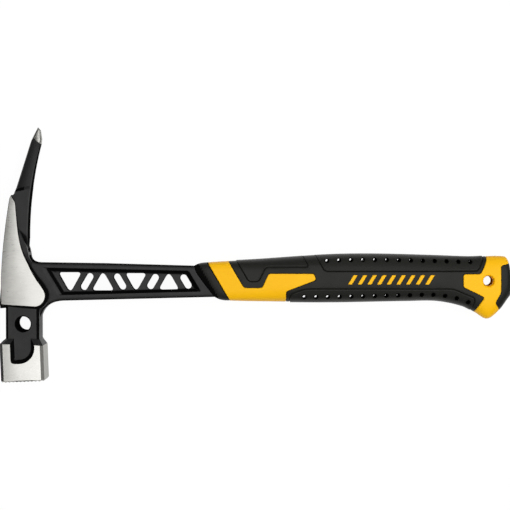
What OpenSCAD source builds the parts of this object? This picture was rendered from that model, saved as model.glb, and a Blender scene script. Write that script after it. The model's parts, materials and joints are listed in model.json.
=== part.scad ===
// One-piece forged roofing hammer with a moulded two-colour grip.
// The head, the truss shaft and the tang are one steel forging. A hard yellow core is
// moulded over the tang, and soft black pieces are moulded over the core.
// The hammer lies on its side: +X runs from the head to the butt, +Y towards the pick,
// and +Z up through the thickness. The shapes are drawn with X = 0 on the axis of the
// striking head, Y = 0 on the centre line of the shaft and Z = 0 half way through, and
// the module placed() then puts the middle of the underside at the origin.

/* [Striking block] */
// Side of the square block
block_w = 28; // [24:0.5:32]
// Chamfer along the block's long edges
block_chamfer = 2; // [1:0.25:4]
// Height of the block, its sloped shoulder included
block_h = 27; // [22:0.5:34]
// Height of the sloped shoulder below the neck
shoulder_h = 3.2; // [2:0.2:5]
// Distance of the striking face from the shaft's centre line
face_drop = 63.4; // [58:0.2:72]
// Turn of the block towards the handle, in degrees
face_tilt = 1.2; // [0:0.1:3]
// Spacing of the milled teeth on the striking face
tooth_pitch = 2.4; // [1.8:0.1:4]
// Depth of the milled teeth
tooth_depth = 0.7; // [0.3:0.1:1.2]
// How much shallower the crossing pass of the cutter is
tooth_pass_rise = 0.1; // [0.05:0.05:0.2]
// Width of the hollow in each side of the block
scallop_w = 15.4; // [10:0.2:18]
// Height of the hollow above the full block, shoulder not included
scallop_h = 12.6; // [8:0.2:16]
// Corner radius of the hollow on the front side
scallop_front_r = 2.6; // [1:0.2:4]
// Corner radius of the hollow on the handle side
scallop_back_r = 10; // [5:0.5:10]

/* [Neck] */
// Width of the neck, seen from the side
neck_w = 22; // [18:0.5:24]
// Thickness of the neck
neck_t = 21.5; // [17:0.5:23]
// Chamfer along the neck's edges
neck_chamfer = 1.8; // [0.5:0.1:4]
// Diameter of the hole through the neck
neck_hole_d = 10.5; // [6:0.1:14]
// Distance of the neck hole below the shaft's centre line
neck_hole_drop = 27; // [24:0.2:30]
// Chamfer around the neck hole
neck_hole_chamfer = 0.6; // [0.2:0.1:1]

/* [Cheeks] */
// Thickness over the two ground cheeks at their lower edge
cheek_t = 27; // [25:0.5:28]
// Thickness over the two cheeks at their tip
cheek_tip_t = 18; // [16.5:0.5:24]
// Reach of the cheek in front of the head's axis
cheek_front = 13.6; // [12:0.2:16]
// Height of the cheek's tip above the shaft's centre line
cheek_rise = 55.6; // [50:0.2:58]
// How far the front edge leans back at the tip
cheek_lean = 6.4; // [4:0.1:8]
// Depth of the cheek below the shaft's centre line
cheek_drop = 15.6; // [14:0.1:18]
// Reach of the cheek's rear lobe behind the head's axis
cheek_back = 14.8; // [13.5:0.1:16]

/* [Pick] */
// Height of the pick's point above the shaft's centre line
pick_rise = 99.8; // [90:0.2:115]
// How far the point leans back from the head's axis
pick_lean = 9.6; // [6:0.1:14]
// Height at which the thick root ends in a ledge
pick_ledge = 59.6; // [57:0.2:64]
// Thickness of the pick's root
pick_root_t = 16; // [13:0.5:20]
// Thickness of the pick just above the ledge
pick_t = 12.4; // [9:0.2:13]
// Thickness of the pick where the ground point begins
pick_neck_t = 7; // [5:0.2:9]
// Thickness at the point
pick_tip_t = 1.6; // [1:0.1:3]
// Height of the ground point
pick_point_h = 8.6; // [6:0.2:12]
// Distance of the pick's rear edge behind the head's axis, at the shaft
pick_back = 3.4; // [2:0.1:6]

/* [Shaft] */
// Height of the shaft at the head
shaft_root_h = 24.6; // [22:0.2:28]
// Height of the shaft at the mouth of the grip
shaft_mouth_h = 20.4; // [18:0.2:22]
// Thickness of the shaft over its flanges
shaft_t = 14; // [11:0.5:17]
// Thickness of the web between the flanges
web_t = 5.6; // [4:0.2:8]
// Height of each flange
flange_h = 3.8; // [3:0.1:5]
// Distance of the sunk panel's front end behind the head's axis, on the centre line
panel_start = 20.6; // [18.5:0.2:23]
// Distance of the sunk panel's end in front of the mouth of the grip, on the centre line
panel_end_gap = 6.2; // [4:0.2:9]
// Lean of the sunk panel's ends, in degrees
panel_slant = 26.5; // [15:0.5:32]
// Pairs of one triangular and one slanted window
window_pairs = 4; // [3:1:4]
// Spacing of the pairs
window_pitch = 21.4; // [20.4:0.1:21.8]
// Web left between a window and the flange
window_margin = 1.3; // [0.8:0.1:2]
// Corner radius of the triangular windows
window_r = 1.2; // [0.5:0.1:1.6]
// Lean of the windows' sides, in degrees
window_slant = 30; // [26:0.5:31]
// Width of the slanted windows
slot_w = 4.1; // [3:0.1:4.4]
// Width of the rib beside the cheek
rib_w = 2.6; // [1.6:0.1:3.2]
// Thickness over the two ribs
rib_t = 17; // [15:0.5:20]

/* [Tang] */
// Height of the tang
tang_h = 10; // [8:0.5:11]
// Thickness of the tang
tang_t = 7; // [5:0.5:8]
// Height of the tang's middle above the shaft's centre line
tang_y = 1.5; // [1:0.1:2]
// Distance from the tang's end to the hang hole
tang_end_gap = 14; // [10:0.5:24]
// Diameter of the holes that lock the core to the tang
key_d = 4; // [3:0.2:5]
// Number of those holes
key_count = 3; // [2:1:5]

/* [Grip outline] */
// Distance of the mouth of the grip behind the head's axis, on the centre line
mouth_x = 117.4; // [112:0.2:122]
// Length of the grip, from the mouth to the end of the butt
grip_len = 197.8; // [192:0.2:206]
// Length of the grip's form hidden in front of the slanted mouth
mouth_lead = 8; // [7:0.2:10]
// Distance of the lip behind the mouth
lip_back = 7; // [5:0.2:9]
// Distance of the swell behind the mouth
swell_back = 33; // [26:0.5:40]
// Distance of the crown behind the mouth
crown_back = 110; // [100:1:116]
// Distance over which the top edge rises to the crown
crown_rise = 30; // [24:0.5:38]
// Distance of the waist in front of the hook's lowest point
waist_ahead = 51; // [44:0.5:58]
// Length of the bend down to the hook
hook_run = 16; // [14:0.2:18]
// Distance of the hook's lowest point in front of the end of the butt
hook_back = 15.4; // [13:0.2:17]
// Length of the rounding at the end of the butt
end_round = 3.6; // [2.6:0.2:4.6]
// Height of the grip's top edge at the mouth
mouth_top = 12.2; // [11.6:0.1:13]
// Height of the grip's top edge at its crown
crown_top = 17.7; // [16.5:0.1:19]
// Height of the grip's top edge at the butt
butt_top = 16.5; // [15.5:0.1:18]
// Depth of the grip's lower edge at the mouth
mouth_bottom = 11.6; // [11.2:0.1:12.4]
// Depth of the grip's lower edge at the belly
belly_bottom = 13.2; // [12.6:0.1:14.5]
// Depth of the grip's lower edge at the waist before the butt
waist_bottom = 12.1; // [11.4:0.1:13]
// Depth of the hooked butt
hook_bottom = 24; // [21:0.2:27]
// Thickness of the grip at the mouth
mouth_t = 19.4; // [18.4:0.2:21]
// Thickness of the grip at its crown
crown_t = 27; // [24:0.2:30]
// Thickness of the grip at the hang hole
butt_t = 19; // [17:0.2:22]
// Squareness of the grip's section at the mouth: 2 is an ellipse, more is squarer
mouth_power = 4.6; // [4:0.1:6]
// Squareness of the grip's section along its body
section_power = 2.5; // [2.2:0.1:3]

/* [Grip pieces] */
// Gap of the seams between the moulded pieces
seam = 0.3; // [0.1:0.05:0.5]
// Height of the raised pads above the sleeve
pad_raise = 0.5; // [0.3:0.05:1]
// Wall of the core around the tang
core_wall = 3.4; // [2.5:0.1:3.6]
// Gap between the tang and what is moulded over it
mould_gap = 0.05; // [0.02:0.01:0.1]
// Lean of the front band, in degrees
band_slant = 31; // [26:0.5:34]
// Width of the collar in front of the band, along the shaft
collar_w = 9.2; // [7:0.2:12]
// Width of the front band, along the shaft
band_w = 13.8; // [11:0.2:16]
// Length of the yellow tongue and flame behind the front band
flame_len = 48.6; // [44:0.2:54]
// Distance of the flame's foot in front of the tongue's end
flame_foot_ahead = 19.2; // [16:0.2:24]
// Distance of the thumb pad behind the front band
thumb_gap = 5.4; // [4:0.2:7]
// Length of the thumb pad's deep front end
thumb_front = 6.4; // [5:0.2:8]
// Distance of the thumb pad's end in front of the tongue's end
thumb_end_ahead = 6; // [4:0.2:8]
// Distance of the upper pad behind the tongue's end
upper_gap = 9; // [7:0.2:11]
// Length of the rear end's tongue in front of the hang hole
rear_tongue_len = 16; // [13:0.2:19]
// Distance of the rear end's waist in front of the hang hole
rear_waist_len = 4.8; // [4:0.2:6]
// Distance of the lower pad's end in front of the hang hole, at the hook
rear_notch_len = 3.2; // [2.4:0.2:4]
// Distance of the upper pad's end in front of the hang hole, at the top edge
rear_edge_len = 1; // [0.6:0.2:2]
// Diameter of the holes through the raised pads
vent_d = 2.8; // [2:0.1:3.2]
// Spacing of the holes along the upper pad
upper_vent_pitch = 7.7; // [6.8:0.1:8]
// Number of holes along the upper pad
upper_vents = 13; // [8:1:13]
// Spacing of the holes along the lower pad
lower_vent_pitch = 7.55; // [6.8:0.05:7.6]
// Number of holes along the lower pad
lower_vents = 15; // [8:1:15]
// Distance of the upper holes below the pad's top edge
upper_vent_inset = 3.6; // [3:0.1:4]
// Distance of the lower holes above the pad's lower edge
lower_vent_inset = 4.2; // [3.6:0.1:4.4]
// Distance of the first upper hole in front of the pad's slanted end
upper_vent_lead = 2.4; // [1.6:0.1:3]
// Distance of the first lower hole behind the pad's front end
lower_vent_lead = 11.2; // [10:0.1:12]
// Distance of the middle of the bars behind the mouth
panel_back = 120; // [110:0.5:126]
// Number of slanted bars in the middle panel
bar_count = 9; // [5:1:9]
// Spacing of the bars
bar_pitch = 6.2; // [5:0.1:6.4]
// Width of each bar
bar_w = 2.6; // [1.6:0.1:3.4]
// Height of the bars
bar_h = 6; // [4:0.2:6.4]

/* [Butt] */
// Diameter of the hang hole
hang_hole_d = 6; // [4:0.1:8]
// Distance from the hang hole to the end of the butt
hang_hole_back = 15.2; // [13.5:0.1:17]
// Height of the hang hole above the shaft's centre line
hang_hole_y = 0.8; // [-1:0.1:2]
// Length of the straight part of the hang hole
hang_hole_len = 10; // [6:0.5:12]
// Thickness of the butt pad on the end
butt_pad_w = 7.2; // [5:0.1:7.6]

/* [Hidden] */
$fn = 48;

// Colours of the painted and ground steel, the hard core and the soft pieces
steel_colour = [0.42, 0.42, 0.43];
core_colour = [0.98, 0.73, 0.10];
soft_colour = [0.13, 0.13, 0.13];

// Depth of a cut that goes right through, and its overlap past a face
through = 80;
over = 0.5;
// Points along each curve, stations along the grip and points around it
curve_steps = 10;
grip_stations = 26;
ring_points = 28;

grip_end = mouth_x + grip_len;
hang_hole_x = grip_end - hang_hole_back;
block_top = block_h - face_drop;
tang_end = hang_hole_x - tang_end_gap;
band_x = mouth_x + collar_w;
flame_x = band_x + band_w;
lean = tan(band_slant);

// Middle of the underside, from the whole hammer's box in the drawing axes
front_reach = max(cheek_front, block_w / 2 * cos(face_tilt) - shoulder_h * sin(face_tilt));
low_reach = block_w / 2 * sin(face_tilt) + block_h * cos(face_tilt) - block_top;
full_t = max(block_w, cheek_t, crown_t + 2 * pad_raise);
box_middle = [(grip_end - front_reach) / 2, (pick_rise - low_reach) / 2, -full_t / 2];

// A cubic curve from a to d, drawn towards b and c
function curve(a, b, c, d) = [
    for (i = [0 : curve_steps]) let (t = i / curve_steps, s = 1 - t)
        s * s * s * a + 3 * s * s * t * b + 3 * s * t * t * c + t * t * t * d
];

// A smooth line through points listed by rising x, read at x
function span_of(points, x, i = 0) =
    i >= len(points) - 2 || x < points[i + 1].x ? i : span_of(points, x, i + 1);
function slope_at(points, i) =
    let (a = points[max(i - 1, 0)], b = points[min(i + 1, len(points) - 1)])
        (b.y - a.y) / (b.x - a.x);
function smooth(points, x) =
    let (i = span_of(points, x), a = points[i], b = points[i + 1], w = b.x - a.x,
         t = (x - a.x) / w, u = 1 - t)
        (1 + 2 * t) * u * u * a.y + t * u * u * w * slope_at(points, i)
        + t * t * (3 - 2 * t) * b.y - t * t * u * w * slope_at(points, i + 1);

// Stations along the grip: inside the mouth, its lip, the swell behind the band, the rise to
// the crown, the crown, the waist, the run down to the hook, and the hook's lowest point
grip_start = mouth_x - mouth_lead;
lip_x = mouth_x + lip_back;
swell_x = mouth_x + swell_back;
crown_x = mouth_x + crown_back;
rise_x = crown_x - crown_rise;
hook_x = grip_end - hook_back;
waist_x = hook_x - waist_ahead;
waist_end_x = hook_x - 2 * hook_run;
corner_x = grip_end - end_round;
tip_x = grip_end - end_round / 3;

function between(a, b, share) = a + (b - a) * share;

// The grip's top edge, lower edge, thickness and squareness of section along the shaft
grip_top = [
    [grip_start, mouth_top], [lip_x, between(mouth_top, crown_top, 0.18)],
    [swell_x, between(mouth_top, crown_top, 0.44)], [rise_x, between(mouth_top, crown_top, 0.93)],
    [crown_x, crown_top], [waist_end_x, between(crown_top, butt_top, 0.8)], [corner_x, butt_top],
    [tip_x, between(0, butt_top, 0.8)], [grip_end, between(0, butt_top, 0.48)]
];
grip_bottom = [
    [grip_start, -mouth_bottom], [lip_x, -between(mouth_bottom, belly_bottom, 0.25)],
    [swell_x, -between(mouth_bottom, belly_bottom, 0.75)], [rise_x, -belly_bottom],
    [waist_x, -waist_bottom], [waist_end_x, -between(waist_bottom, hook_bottom, 0.03)],
    [hook_x - hook_run, -between(waist_bottom, hook_bottom, 0.29)],
    [hook_x - hook_run / 2, -between(waist_bottom, hook_bottom, 0.61)], [hook_x, -hook_bottom],
    [hook_x + hook_run / 2, -between(waist_bottom, hook_bottom, 0.58)], [tip_x, -waist_bottom],
    [grip_end, -between(0, waist_bottom, 0.8)]
];
grip_thickness = [
    [grip_start, mouth_t], [lip_x, between(mouth_t, crown_t, 0.18)],
    [swell_x, between(mouth_t, crown_t, 0.63)], [rise_x, between(mouth_t, crown_t, 0.95)],
    [crown_x, crown_t], [waist_end_x, between(crown_t, butt_t, 0.13)],
    [hook_x - hook_run, between(crown_t, butt_t, 0.6)], [hook_x, butt_t], [corner_x, 0.9 * butt_t],
    [tip_x, 0.8 * butt_t], [grip_end, 0.63 * butt_t]
];
grip_power = [
    [grip_start, mouth_power], [band_x, between(mouth_power, section_power, 0.2)],
    [swell_x, between(mouth_power, section_power, 0.75)], [rise_x, section_power],
    [crown_x, section_power], [grip_end, section_power]
];

// A line that leans with the band: x on the centre line, read at height y
function leaning(x, y) = [x - y * lean, y];

function signed_power(v, p) = sign(v) * pow(abs(v), p);

// The grip's rounded outer form, swollen by raise
module grip_form(raise = 0) {
    body = [for (i = [0 : grip_stations]) between(grip_start, hook_x - hook_run, i / grip_stations)];
    butt = [for (i = [1 : 6]) hook_x - hook_run + i * hook_run / 4];
    stations = concat(body, butt, [corner_x, tip_x, grip_end]);
    last = len(stations) - 1;
    points = [
        for (x = stations)
            let (top = smooth(grip_top, x) + raise, bottom = smooth(grip_bottom, x) - raise,
                 half_t = smooth(grip_thickness, x) / 2 + raise, p = 2 / smooth(grip_power, x))
                for (k = [0 : ring_points - 1]) let (a = 360 * k / ring_points)
                        [x,
                         (top + bottom) / 2 + (top - bottom) / 2 * signed_power(sin(a), p),
                         half_t * signed_power(cos(a), p)]
    ];
    walls = [
        for (i = [0 : last - 1], k = [0 : ring_points - 1])
            let (j = (k + 1) % ring_points, near = i * ring_points, far = near + ring_points)
                each [[near + k, near + j, far + j], [near + k, far + j, far + k]]
    ];
    first_cap = [for (k = [0 : ring_points - 1]) ring_points - 1 - k];
    last_cap = [for (k = [0 : ring_points - 1]) last * ring_points + k];
    polyhedron(points, concat([first_cap], walls, [last_cap]));
}

// A flat outline carried right through the thickness
module through_all() {
    linear_extrude(through, center = true) children();
}

// Moves the drawing axes so that the middle of the underside is the origin
module placed() {
    translate(-box_middle) children();
}

module chamfered_square(w, h, c) {
    polygon([
        [-w / 2 + c, -h / 2], [w / 2 - c, -h / 2], [w / 2, -h / 2 + c], [w / 2, h / 2 - c],
        [w / 2 - c, h / 2], [-w / 2 + c, h / 2], [-w / 2, h / 2 - c], [-w / 2, -h / 2 + c]
    ]);
}

// A chamfered bar standing along Y from y0 to y1
module bar_along_y(w, t, c, y0, y1) {
    translate([0, y1, 0]) rotate([90, 0, 0]) linear_extrude(y1 - y0) chamfered_square(w, t, c);
}

// Outline of the ground cheek
cheek_tip = [cheek_lean - cheek_front, cheek_rise];
cheek_foot = [cheek_back - 2.8, -2];
module cheek_outline() {
    front = [
        for (i = [0 : curve_steps]) let (t = i / curve_steps)
            [cheek_lean * t * t - cheek_front, cheek_rise * t]
    ];
    shoulder = cheek_tip + [2.8, -4.6];
    waist = [cheek_back - 11.4, 12.6];
    back = curve(shoulder, shoulder + [1, -15], waist + [-5.3, 11.4], waist);
    lobe = curve(cheek_foot, [cheek_back + 1.5, -8.2], [cheek_back + 0.7, -cheek_drop],
                 [cheek_back - 6.4, -cheek_drop]);
    polygon(concat([[-cheek_front, 1 - cheek_drop]], front, back, lobe));
}

// A side outline cut to a thickness that changes with height
module shaped_by(profile) {
    intersection() {
        through_all() children();
        rotate([90, 0, 90]) through_all() polygon(concat(
            [for (p = profile) [p.x, -p.y / 2]],
            [for (i = [len(profile) - 1 : -1 : 0]) [profile[i].x, profile[i].y / 2]]
        ));
    }
}

module cheek() {
    shaped_by([[-cheek_drop - over, cheek_t], [cheek_rise + over, cheek_tip_t]]) cheek_outline();
}

// Outline of the pick, down to where it is lost in the shaft
pick_curve_start = 28;
pick_point_y = pick_rise - pick_point_h;
pick_corner = [pick_lean + 1.2, pick_point_y];
module pick_outline() {
    rear = [
        for (i = [0 : curve_steps])
            let (t = i / curve_steps, y = pick_curve_start + (pick_point_y - pick_curve_start) * (1 - t))
                [pick_back + (pick_corner.x - pick_back) * (1 - t) * (1 - t), y]
    ];
    polygon(concat(
        [[-cheek_front + cheek_lean, cheek_rise - 7], [pick_lean - 4.4, pick_point_y],
         [pick_lean, pick_rise], [pick_corner.x, pick_rise - 2.6]],
        rear,
        [[pick_back, 0], [-cheek_front + cheek_lean, 0]]
    ));
}

module pick() {
    shaped_by([
        [0, pick_root_t], [pick_ledge, pick_root_t], [pick_ledge + 0.8, pick_t],
        [pick_point_y, pick_neck_t], [pick_rise, pick_tip_t]
    ]) pick_outline();
}

// Half of the shaft's height at x
function shaft_half(x) =
    (shaft_root_h + (shaft_mouth_h - shaft_root_h) * x / mouth_x) / 2;
function panel_half(x) = shaft_half(x) - flange_h;

// The full shaft ends half way along the collar, and the slimmer tang goes on from there
module shaft_outline() {
    shaft_end = mouth_x + collar_w / 2;
    end_half = shaft_half(shaft_end);
    top_fillet = curve([pick_back, shaft_half(0) + 9], [pick_back, shaft_half(0) + 3],
                       [pick_back + 2, shaft_half(10)], [pick_back + 7, shaft_half(10)]);
    low_fillet = curve([neck_w / 2 + 11.5, -shaft_half(22)], [neck_w / 2 + 3.5, -shaft_half(22)],
                       [neck_w / 2, -shaft_half(22) - 5], [neck_w / 2, -shaft_half(22) - 12]);
    polygon(concat(
        [[0, shaft_half(0) + 9]], top_fillet,
        [leaning(shaft_end, end_half), leaning(shaft_end, -end_half)],
        low_fillet, [[0, -shaft_half(22) - 12]]
    ));
}

// The sunk panel, the same on both sides of the web
panel_end = mouth_x - panel_end_gap;
module panel_outline() {
    run = tan(panel_slant);
    polygon([
        for (corner = [[panel_start, 1], [panel_end, 1], [panel_end, -1], [panel_start, -1]])
            let (y = corner.y * panel_half(corner.x)) [corner.x - y * run, y]
    ]);
}

module triangle_window(x, up) {
    half = panel_half(x) - window_margin;
    reach = 2 * half * tan(window_slant);
    offset(r = window_r) offset(delta = -window_r)
        polygon([[x - reach, -up * half], [x + reach, -up * half], [x, up * half]]);
}

module slot_window(x, up) {
    half = panel_half(x) - window_margin - slot_w / 2 - 0.6;
    shift = up * half * tan(window_slant);
    hull() {
        translate([x - shift, half]) circle(slot_w / 2, $fn = 24);
        translate([x + shift, -half]) circle(slot_w / 2, $fn = 24);
    }
}

first_window = panel_start + 9;
module windows() {
    for (i = [0 : window_pairs - 1]) {
        up = i % 2 == 0 ? -1 : 1;
        triangle_window(first_window + i * window_pitch, up);
        slot_window(first_window + (i + 0.5) * window_pitch, up);
    }
}

module shaft() {
    difference() {
        linear_extrude(shaft_t, center = true) shaft_outline();
        for (side = [-1, 1])
            translate([0, 0, side * (web_t / 2 + through / 2)]) through_all() panel_outline();
        through_all() windows();
    }
}

// A slim raised rib beside the cheek's lower back edge
module ribs() {
    rib_top = [cheek_foot.x - 6.4, 10];
    rib_end = [cheek_back + 2.6, -9.6];
    linear_extrude(rib_t, center = true) polygon([
        rib_top, rib_top + [rib_w, 0], rib_end + [rib_w, 0], rib_end
    ]);
}

module tang_outline(gap) {
    translate([mouth_x, tang_y - tang_h / 2 - gap])
        square([tang_end + gap - mouth_x, tang_h + 2 * gap]);
}

module tang_keys(gap) {
    first = flame_x + 12;
    pitch = (tang_end - 12 - first) / (key_count - 1);
    for (i = [0 : key_count - 1])
        translate([first + i * pitch, tang_y]) circle(d = key_d - 2 * gap);
}

module tang(gap = 0) {
    linear_extrude(tang_t + 2 * gap, center = true) difference() {
        tang_outline(gap);
        tang_keys(gap);
    }
}

// Striking block, in the axes of its own face: +Y points to the neck
module striking_block() {
    body_h = block_h - shoulder_h;
    bar_along_y(block_w, block_w, block_chamfer, 0, body_h);
    hull() {
        bar_along_y(block_w, block_w, block_chamfer, body_h - over, body_h);
        bar_along_y(neck_w, neck_t, neck_chamfer, block_h - over, block_h);
    }
}

// Crossed grooves that leave pointed teeth on the striking face
module tooth_grooves() {
    count = ceil(block_w / tooth_pitch);
    for (turn = [0, 90], i = [0 : count]) {
        depth = turn == 0 ? tooth_depth : tooth_depth - tooth_pass_rise;
        rotate([0, turn, 0]) translate([(i - count / 2) * tooth_pitch, 0, 0])
            linear_extrude(through, center = true)
                polygon([[-depth - over, -over], [depth + over, -over], [0, depth]]);
    }
}

// A hollow in each side of the block, level with the neck and rounded below
module scallops() {
    low = block_h - shoulder_h - scallop_h;
    half = scallop_w / 2;
    for (side = [-1, 1])
        translate([0, 0, side * (neck_t / 2 + through / 2)]) through_all() {
            translate([-half, low + scallop_back_r]) square([scallop_w, block_h + over]);
            hull() {
                translate([scallop_front_r - half, low + scallop_front_r]) circle(scallop_front_r);
                translate([scallop_front_r - half, low + scallop_back_r]) circle(scallop_front_r);
                translate([half - scallop_back_r, low + scallop_back_r])
                    intersection() {
                        circle(scallop_back_r);
                        translate([0, -scallop_back_r]) square(2 * scallop_back_r);
                    }
            }
        }
}

module milled_block() {
    translate([0, block_top, 0]) rotate([0, 0, face_tilt]) translate([0, -block_h, 0]) difference() {
        striking_block();
        tooth_grooves();
        scallops();
    }
}

module neck_bore() {
    translate([0, -neck_hole_drop, 0]) {
        cylinder(d = neck_hole_d, h = through, center = true);
        for (side = [0, 180])
            rotate([side, 0, 0]) translate([0, 0, neck_t / 2 - neck_hole_chamfer])
                cylinder(d1 = neck_hole_d, d2 = neck_hole_d + 2 * (neck_hole_chamfer + over),
                         h = neck_hole_chamfer + over);
    }
}

module steel_forging() {
    color(steel_colour) placed() difference() {
        union() {
            milled_block();
            bar_along_y(neck_w, neck_t, neck_chamfer, block_top - over, 0);
            cheek();
            pick();
            shaft();
            ribs();
            tang();
        }
        neck_bore();
    }
}

// Places well outside the grip, for outlines that wrap over an edge, and the small cut that
// eases the corners of the outlines
far_y = 32;
far_x = grip_end + 20;
corner = 0.8;

module collar_region() {
    polygon([leaning(mouth_x, far_y), leaning(band_x - seam, far_y),
             leaning(band_x - seam, -far_y), leaning(mouth_x, -far_y)]);
}

// The yellow band, with its flame and tongue running back along the lower edge
flame_end = flame_x + flame_len;
flame_low = -3.3;
flame_foot = flame_end - flame_foot_ahead;
thumb_x = flame_x + thumb_gap;
tongue_x = thumb_x + 2 * thumb_front - corner;
tongue_run = 4;
tongue_top = 5.4;
tongue_nose = 3.8;
module band_region() {
    trough = leaning(flame_x, flame_low);
    polygon([
        leaning(band_x, far_y), leaning(flame_x, far_y), leaning(flame_x, flame_low + corner),
        trough + [corner, 0], [tongue_x - tongue_run - corner, flame_low],
        [tongue_x - tongue_run + corner / 2, flame_low + corner], [tongue_x - corner, tongue_top - corner],
        [tongue_x + corner, tongue_top], [flame_end - tongue_nose / 2, tongue_top],
        [flame_end, tongue_top - tongue_nose], [flame_end - corner, tongue_top - tongue_nose - corner],
        [flame_foot + 2 * corner, flame_low - 2 * corner], [flame_foot, flame_low - 5 * corner],
        [flame_foot, -far_y], leaning(band_x, -far_y)
    ]);
}

// The yellow rear end, with its short tongue towards the middle panel
rear_tongue = hang_hole_x - rear_tongue_len;
rear_waist = hang_hole_x - rear_waist_len;
rear_edge = hang_hole_x - rear_edge_len;
rear_notch = hang_hole_x - rear_notch_len;
rear_top = 5;
rear_low = -3.4;
rear_notch_y = -10.5;
rear_slope = 1.6;
module rear_region() {
    polygon([
        [rear_edge, far_y], [rear_edge, 14], [between(rear_edge, rear_waist, 0.42), 9.4],
        [rear_waist + corner, rear_top + corner], [rear_waist - corner, rear_top],
        [rear_tongue + corner, rear_top], [rear_tongue, rear_top - corner],
        [rear_tongue, rear_low + corner], [rear_tongue + corner, rear_low],
        [rear_waist - corner, rear_notch_y + 2.4], [rear_notch, rear_notch_y + corner],
        [rear_notch, rear_notch_y - corner],
        [rear_notch - (far_y + rear_notch_y) / rear_slope, -far_y], [far_x, -far_y], [far_x, far_y]
    ]);
}

// The soft bumper on the end of the butt
butt_pad_top = 11.7;
module butt_region() {
    inner = grip_end - butt_pad_w;
    heel = inner - 2.8;
    heel_y = -13;
    polygon([
        [far_x, butt_pad_top], [inner + 4 * corner, butt_pad_top], [inner + corner, butt_pad_top - corner],
        [inner, butt_pad_top - 3 * corner], [inner, heel_y + 6.2], [heel, heel_y + corner],
        [heel, heel_y - corner], [inner + 3, -hook_bottom + 2], [far_x, -hook_bottom + 2]
    ]);
}

// Slanted bars of the core that show in the middle panel
panel_middle = [mouth_x + panel_back, 1.6];
module bar_region() {
    for (i = [0 : bar_count - 1]) {
        x = panel_middle.x + (i - (bar_count - 1) / 2) * bar_pitch;
        polygon([
            for (corner = [[-1, -1], [1, -1], [1, 1], [-1, 1]])
                [x + corner.x * bar_w / 2 - corner.y * bar_h / 2 * lean,
                 panel_middle.y + corner.y * bar_h / 2]
        ]);
    }
}

module core_region() {
    band_region();
    difference() {
        rear_region();
        offset(delta = seam) butt_region();
    }
    bar_region();
}

// The raised pad behind the band, deep at its front and shallow along the tongue
thumb_low = 0.3;
thumb_step = 9.4;
thumb_end = flame_end - thumb_end_ahead;
module thumb_region() {
    polygon([
        leaning(thumb_x, far_y), leaning(thumb_x, thumb_low), [thumb_x + thumb_front, thumb_low],
        [thumb_x + 1.5 * thumb_front, between(thumb_low, thumb_step, 0.72)],
        [thumb_x + 2 * thumb_front, thumb_step], [thumb_end, thumb_step],
        leaning(thumb_end + thumb_step * lean, far_y)
    ]);
}

// The raised pads along the top and lower edges
upper_x = flame_end + upper_gap;
upper_low = 7.1;
module upper_region() {
    polygon([
        leaning(upper_x, far_y), leaning(upper_x, upper_low + 2 * corner), [upper_x - 4, upper_low],
        [rear_waist - corner, upper_low], [rear_edge - 1.6, far_y]
    ]);
}

lower_high = -3.9;
module lower_region() {
    polygon([
        [flame_foot, lower_high], [hang_hole_x, lower_high], [hang_hole_x, -far_y],
        [flame_foot, -far_y]
    ]);
}

// Everything behind the band that no other piece covers
module sleeve_region() {
    difference() {
        translate([band_x - far_y, -far_y]) square([far_x - band_x, 2 * far_y]);
        offset(delta = seam) {
            core_region();
            rear_region();
            thumb_region();
            upper_region();
            lower_region();
        }
        polygon([leaning(band_x + over, far_y), leaning(band_x + over, -far_y),
                 [grip_start - far_y, -far_y], [grip_start - far_y, far_y]]);
    }
}

// The straight bar of the core that runs around the tang under the soft pieces
module core_bar(gap = 0) {
    wall = core_wall + gap;
    low = tang_y - tang_h / 2 - wall;
    start = leaning(band_x, low).x + over;
    linear_extrude(tang_t + 2 * wall, center = true)
        translate([start, low]) square([rear_waist - start, tang_h + 2 * wall]);
}

module hang_bore() {
    flare = butt_t / 2 - hang_hole_len / 2;
    translate([hang_hole_x, hang_hole_y, 0]) {
        cylinder(d = hang_hole_d, h = through, center = true);
        for (side = [0, 180])
            rotate([side, 0, 0]) translate([0, 0, hang_hole_len / 2])
                cylinder(d1 = hang_hole_d, d2 = hang_hole_d + 0.8 * flare, h = flare + over);
    }
}

module grip_core() {
    color(core_colour) placed() difference() {
        union() {
            intersection() {
                grip_form();
                through_all() core_region();
            }
            core_bar();
        }
        tang(mould_gap);
        hang_bore();
    }
}

module front_collar() {
    color(soft_colour) placed() difference() {
        intersection() {
            grip_form();
            through_all() collar_region();
        }
        linear_extrude(shaft_t + 2 * mould_gap, center = true) offset(delta = mould_gap) shaft_outline();
        tang(mould_gap);
    }
}

// A soft piece over the core: the grip's form, raised, inside a flat outline
module over_core(raise) {
    difference() {
        intersection() {
            grip_form(raise);
            through_all() children();
        }
        core_bar(mould_gap);
    }
}

module grip_sleeve() {
    color(soft_colour) placed() over_core(0) sleeve_region();
}

module thumb_pad() {
    color(soft_colour) placed() over_core(pad_raise) difference() {
        thumb_region();
        offset(delta = seam) band_region();
    }
}

// Holes along a pad's edge, from the front end
module vents(first, count, pitch, edge, inset) {
    for (i = [0 : count - 1]) {
        x = first + i * pitch;
        translate([x, smooth(edge, x) + inset]) circle(d = vent_d);
    }
}

module upper_grip_pad() {
    color(soft_colour) placed() over_core(pad_raise) difference() {
        upper_region();
        offset(delta = seam) rear_region();
        vents(upper_x - upper_vent_lead, upper_vents, upper_vent_pitch, grip_top,
              pad_raise - upper_vent_inset);
    }
}

module lower_grip_pad() {
    color(soft_colour) placed() over_core(pad_raise) difference() {
        lower_region();
        offset(delta = seam) {
            band_region();
            rear_region();
        }
        vents(flame_foot + lower_vent_lead, lower_vents, lower_vent_pitch, grip_bottom,
              lower_vent_inset - pad_raise);
    }
}

module butt_pad() {
    color(soft_colour) placed() intersection() {
        grip_form();
        through_all() butt_region();
    }
}

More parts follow.
